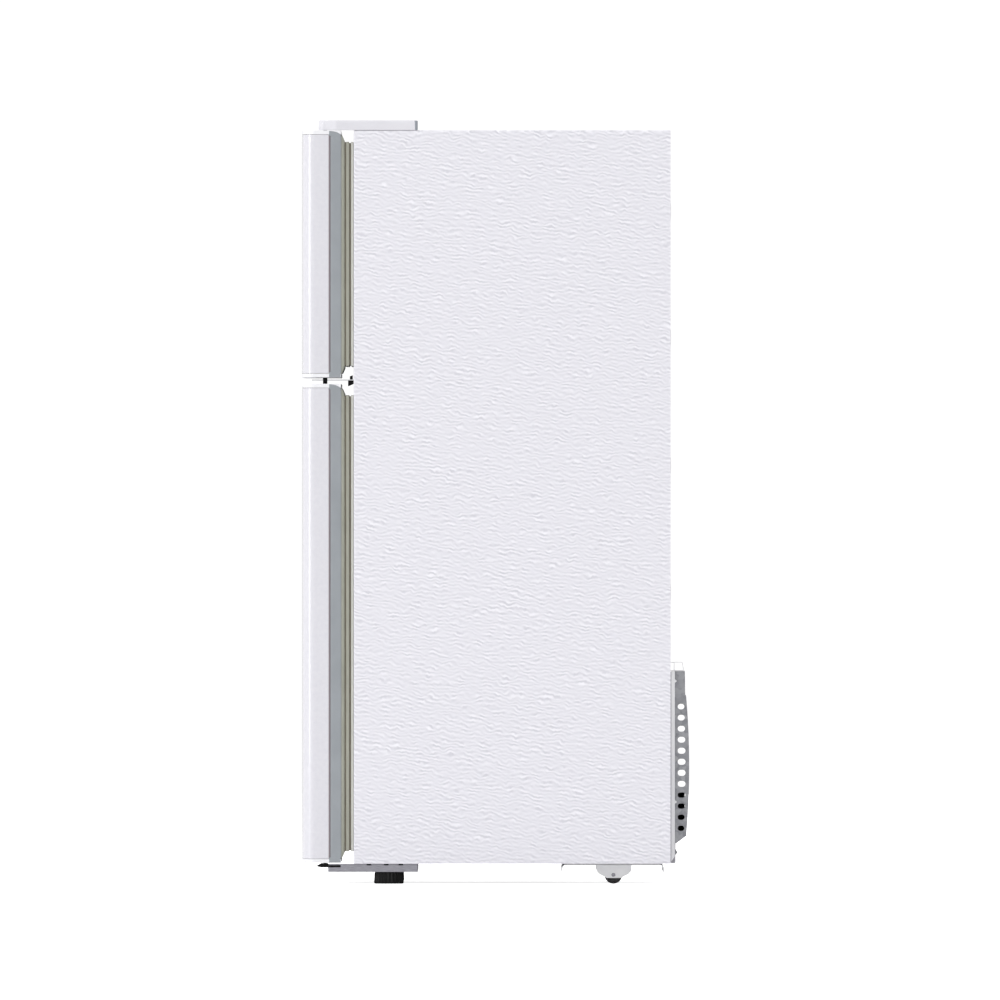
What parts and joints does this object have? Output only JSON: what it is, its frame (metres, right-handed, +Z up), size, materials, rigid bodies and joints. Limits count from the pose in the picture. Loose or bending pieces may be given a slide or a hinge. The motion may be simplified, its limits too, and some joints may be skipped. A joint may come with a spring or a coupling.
{
  "type": "top freezer refrigerator",
  "caption": "White top-freezer refrigerator with two side-hinged doors, grained steel cabinet, door bins, drawers, glass shelves and a vented compressor cover at the back.",
  "frame": {"origin": "on the floor, at the middle of the overall width and depth", "axes": "+Z up, -Y out of the doors, +X towards the hinge side"},
  "size_m": [0.755, 0.854, 1.68],
  "materials": {
    "cabinet_paint": "leather-grain embossed white paint",
    "door_paint": "smooth white paint",
    "cap_plastic": "white moulded plastic",
    "liner_plastic": "white moulded liner",
    "edge_plastic": "blue-grey moulded plastic",
    "gasket_vinyl": "soft grey vinyl",
    "insulation_foam": "rigid foam",
    "galvanised_steel": "galvanised sheet",
    "white_steel": "white coated sheet",
    "black_plastic": "black moulded plastic",
    "black_enamel": "black enamel",
    "clear_plastic": "clear moulded plastic",
    "shelf_glass": "toughened glass with a moulded frame",
    "aluminium_fins": "bare aluminium",
    "lamp_plastic": "diffusing plastic"
  },
  "bodies": {
    "cabinet": {"cabinet_shell": "cabinet_paint", "back_panel": "white_steel", "floor_pan": "galvanised_steel", "cabinet_foam": "insulation_foam", "freezer_liner": "liner_plastic", "fresh_food_liner": "liner_plastic", "mullion_cover": "cabinet_paint", "top_hinge": "galvanised_steel", "top_hinge_cover": "cap_plastic", "middle_hinge": "black_enamel", "bottom_hinge": "galvanised_steel", "left_foot_bracket": "galvanised_steel", "compressor_base": "white_steel", "compressor": "black_enamel", "condenser": "black_enamel", "drain_tray": "black_plastic", "condenser_fan_motor": "galvanised_steel", "rear_cover": "galvanised_steel", "cable_guide": "white_steel", "evaporator": "aluminium_fins", "evaporator_cover": "liner_plastic", "freezer_shelf": "shelf_glass", "ice_tray": "liner_plastic", "control_housing": "liner_plastic", "lamp_lens": "lamp_plastic", "upper_shelf": "shelf_glass", "lower_shelf": "shelf_glass", "crisper_cover": "shelf_glass"},
    "freezer_door": {"freezer_door_skin": "door_paint", "freezer_door_top_cap": "cap_plastic", "freezer_door_bottom_cap": "cap_plastic", "freezer_door_foam": "insulation_foam", "freezer_door_liner": "edge_plastic", "freezer_gasket": "gasket_vinyl", "freezer_bin_lower": "clear_plastic", "freezer_bin_upper": "clear_plastic"},
    "fresh_food_door": {"fresh_food_door_skin": "door_paint", "fresh_food_door_top_cap": "cap_plastic", "fresh_food_door_bottom_cap": "cap_plastic", "fresh_food_door_foam": "insulation_foam", "fresh_food_door_liner": "edge_plastic", "fresh_food_gasket": "gasket_vinyl", "bottle_bin": "clear_plastic", "middle_bin": "clear_plastic", "dairy_box": "liner_plastic"},
    "dairy_lid": {"dairy_lid": "clear_plastic"},
    "left_crisper": {"left_crisper": "clear_plastic"},
    "right_crisper": {"right_crisper": "clear_plastic"},
    "deli_drawer": {"deli_drawer": "clear_plastic"},
    "ice_bin": {"ice_bin": "clear_plastic"},
    "temperature_dial": {"temperature_dial": "edge_plastic"},
    "light_switch": {"light_switch": "liner_plastic"},
    "left_humidity_slide": {"left_humidity_slide": "edge_plastic"},
    "right_humidity_slide": {"right_humidity_slide": "edge_plastic"},
    "evaporator_fan": {"evaporator_fan": "black_plastic"},
    "condenser_fan": {"condenser_fan": "black_plastic"},
    "left_foot": {"left_foot": "black_plastic"},
    "right_foot": {"right_foot": "black_plastic"},
    "left_roller": {"left_roller": "black_plastic"},
    "right_roller": {"right_roller": "black_plastic"}
  },
  "joints": [
    {"name": "freezer_door_hinge", "type": "hinge", "parent": "cabinet", "child": "freezer_door", "pos_m": [0.3555, -0.3742, 1.385], "axis": [0, 0, 1], "range_deg": [0, 130]},
    {"name": "fresh_food_door_hinge", "type": "hinge", "parent": "cabinet", "child": "fresh_food_door", "pos_m": [0.3555, -0.3742, 0.573], "axis": [0, 0, 1], "range_deg": [0, 130]},
    {"name": "dairy_lid_hinge", "type": "hinge", "parent": "fresh_food_door", "child": "dairy_lid", "pos_m": [0, -0.33, 0.9266], "axis": [1, 0, 0], "range_deg": [0, 90]},
    {"name": "left_crisper_slide", "type": "slide", "parent": "cabinet", "child": "left_crisper", "axis": [0, -1, 0], "range_m": [0, 0.2]},
    {"name": "right_crisper_slide", "type": "slide", "parent": "cabinet", "child": "right_crisper", "axis": [0, -1, 0], "range_m": [0, 0.2]},
    {"name": "deli_drawer_slide", "type": "slide", "parent": "cabinet", "child": "deli_drawer", "axis": [0, -1, 0], "range_m": [0, 0.2]},
    {"name": "ice_bin_slide", "type": "slide", "parent": "cabinet", "child": "ice_bin", "axis": [0, -1, 0], "range_m": [0, 0.15]},
    {"name": "light_switch_travel", "type": "slide", "parent": "cabinet", "child": "light_switch", "axis": [0, -1, 0], "range_m": [0, 0.008]},
    {"name": "left_humidity_travel", "type": "slide", "parent": "left_crisper", "child": "left_humidity_slide", "axis": [1, 0, 0], "range_m": [-0.04, 0.04]},
    {"name": "right_humidity_travel", "type": "slide", "parent": "right_crisper", "child": "right_humidity_slide", "axis": [1, 0, 0], "range_m": [-0.04, 0.04]},
    {"name": "temperature_dial_turn", "type": "hinge", "parent": "cabinet", "child": "temperature_dial", "pos_m": [-0.06, -0.262, 1.037], "axis": [0, -1, 0], "range_deg": [-135, 135]},
    {"name": "evaporator_fan_spin", "type": "hinge", "parent": "cabinet", "child": "evaporator_fan", "pos_m": [0, 0.267, 1.5], "axis": [0, 1, 0], "continuous": true},
    {"name": "condenser_fan_spin", "type": "hinge", "parent": "cabinet", "child": "condenser_fan", "pos_m": [-0.068, 0.262, 0.128], "axis": [1, 0, 0], "continuous": true},
    {"name": "left_roller_spin", "type": "hinge", "parent": "cabinet", "child": "left_roller", "pos_m": [-0.33, 0.26, 0.0195], "axis": [1, 0, 0], "continuous": true},
    {"name": "right_roller_spin", "type": "hinge", "parent": "cabinet", "child": "right_roller", "pos_m": [0.33, 0.26, 0.0195], "axis": [1, 0, 0], "continuous": true},
    {"name": "left_foot_travel", "type": "slide", "parent": "cabinet", "child": "left_foot", "axis": [0, 0, -1], "range_m": [0, 0.014]},
    {"name": "right_foot_travel", "type": "slide", "parent": "cabinet", "child": "right_foot", "axis": [0, 0, -1], "range_m": [0, 0.014]}
  ],
  "couplings": [
    {"joint": "left_crisper_slide", "follows": "fresh_food_door_hinge", "m_per_rad": 0.088},
    {"joint": "right_crisper_slide", "follows": "fresh_food_door_hinge", "m_per_rad": 0.088},
    {"joint": "deli_drawer_slide", "follows": "fresh_food_door_hinge", "m_per_rad": 0.088},
    {"joint": "light_switch_travel", "follows": "fresh_food_door_hinge", "m_per_rad": 0.0035},
    {"joint": "ice_bin_slide", "follows": "freezer_door_hinge", "m_per_rad": 0.066}
  ]
}
